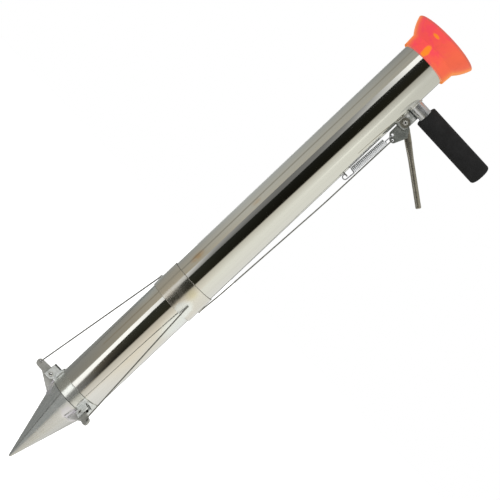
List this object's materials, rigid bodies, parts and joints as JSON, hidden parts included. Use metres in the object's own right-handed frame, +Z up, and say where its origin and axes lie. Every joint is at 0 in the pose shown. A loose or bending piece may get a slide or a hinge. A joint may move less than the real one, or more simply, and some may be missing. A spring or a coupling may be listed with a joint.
{
  "type": "hand planter",
  "caption": "Long steel tube planter with a flared mouth funnel, side grip and finger trigger whose wires open a hinged cone of jaws at the foot.",
  "frame": {"origin": "point of the closed jaws", "axes": "+Z up the barrel's axis to the funnel mouth, +X along the handle, away from the barrel"},
  "size_m": [0.2667, 0.1378, 0.9307],
  "materials": {
    "polished_steel": "polished",
    "satin_steel": "satin",
    "zinc_steel": "satin",
    "rivet_steel": "satin",
    "wire_steel": "satin",
    "rod_steel": "satin",
    "spring_steel": "satin",
    "funnel_plastic": "glossy",
    "grip_foam": "matte"
  },
  "bodies": {
    "barrel": {"barrel_tube": "polished_steel", "mouth_funnel": "funnel_plastic", "hinge_collar": "polished_steel", "hinge_bracket_a": "zinc_steel", "hinge_bracket_b": "zinc_steel", "hinge_bracket_c": "zinc_steel", "hinge_rivet_a": "rivet_steel", "hinge_rivet_b": "rivet_steel", "hinge_rivet_c": "rivet_steel", "handle_tube": "satin_steel", "handle_grip": "grip_foam", "trigger_bracket": "zinc_steel", "trigger_rivet": "rivet_steel", "spring_tab": "satin_steel"},
    "trigger": {"trigger_plate": "zinc_steel", "trigger_rod": "rod_steel", "trigger_bush": "rivet_steel"},
    "spring": {"return_spring": "spring_steel"},
    "slider": {"slider_sleeve": "polished_steel"},
    "pull_wire": {"trigger_wire": "wire_steel"},
    "jaw_wire_a": {"jaw_wire_a": "wire_steel"},
    "jaw_a": {"jaw_shell_a": "satin_steel", "jaw_lever_a": "zinc_steel"},
    "jaw_wire_b": {"jaw_wire_b": "wire_steel"},
    "jaw_b": {"jaw_shell_b": "satin_steel", "jaw_lever_b": "zinc_steel"},
    "jaw_wire_c": {"jaw_wire_c": "wire_steel"},
    "jaw_c": {"jaw_shell_c": "satin_steel", "jaw_lever_c": "zinc_steel"}
  },
  "joints": [
    {"name": "trigger_pivot", "type": "hinge", "parent": "barrel", "child": "trigger", "pos_m": [0.0458, 0, 0.8017], "axis": [0, -1, 0], "range_deg": [0, 28], "stiffness_Nm_per_rad": 1, "springref_deg": -34.38},
    {"name": "spring_swing", "type": "hinge", "parent": "trigger", "child": "spring", "pos_m": [0.0462, -0.00525, 0.7742], "axis": [0, 1, 0], "range_deg": [0, 36]},
    {"name": "sleeve_slide", "type": "slide", "parent": "barrel", "child": "slider", "axis": [0, 0, 1], "range_m": [0, 0.0078]},
    {"name": "pull_wire_flex", "type": "hinge", "parent": "slider", "child": "pull_wire", "pos_m": [0.041, 0.00125, 0.3691], "axis": [0, 1, 0], "range_deg": [0, 2.2]},
    {"name": "jaw_wire_flex_a", "type": "hinge", "parent": "slider", "child": "jaw_wire_a", "pos_m": [-0.04094, 0.0022, 0.3624], "axis": [0, -1, 0], "range_deg": [0, 0.6]},
    {"name": "jaw_hinge_a", "type": "hinge", "parent": "barrel", "child": "jaw_a", "pos_m": [-0.049, 0, 0.1383], "axis": [0, 1, 0], "range_deg": [0, 18.4]},
    {"name": "jaw_wire_flex_b", "type": "hinge", "parent": "slider", "child": "jaw_wire_b", "pos_m": [0.01857, -0.03656, 0.3624], "axis": [0.866, 0.5, 0], "range_deg": [0, 0.6]},
    {"name": "jaw_hinge_b", "type": "hinge", "parent": "barrel", "child": "jaw_b", "pos_m": [0.0245, -0.04244, 0.1383], "axis": [-0.866, -0.5, 0], "range_deg": [0, 18.4]},
    {"name": "jaw_wire_flex_c", "type": "hinge", "parent": "slider", "child": "jaw_wire_c", "pos_m": [0.02238, 0.03436, 0.3624], "axis": [-0.866, 0.5, 0], "range_deg": [0, 0.6]},
    {"name": "jaw_hinge_c", "type": "hinge", "parent": "barrel", "child": "jaw_c", "pos_m": [0.0245, 0.04244, 0.1383], "axis": [0.866, -0.5, 0], "range_deg": [0, 18.4]}
  ],
  "couplings": [
    {"joint": "spring_swing", "follows": "trigger_pivot", "ratio": 1.2757},
    {"joint": "sleeve_slide", "follows": "trigger_pivot", "m_per_rad": 0.015648},
    {"joint": "pull_wire_flex", "follows": "trigger_pivot", "ratio": 0.07341},
    {"joint": "jaw_wire_flex_a", "follows": "trigger_pivot", "ratio": 0.01794},
    {"joint": "jaw_hinge_a", "follows": "trigger_pivot", "ratio": 0.64703},
    {"joint": "jaw_wire_flex_b", "follows": "trigger_pivot", "ratio": 0.01794},
    {"joint": "jaw_hinge_b", "follows": "trigger_pivot", "ratio": 0.64703},
    {"joint": "jaw_wire_flex_c", "follows": "trigger_pivot", "ratio": 0.01794},
    {"joint": "jaw_hinge_c", "follows": "trigger_pivot", "ratio": 0.64703}
  ]
}
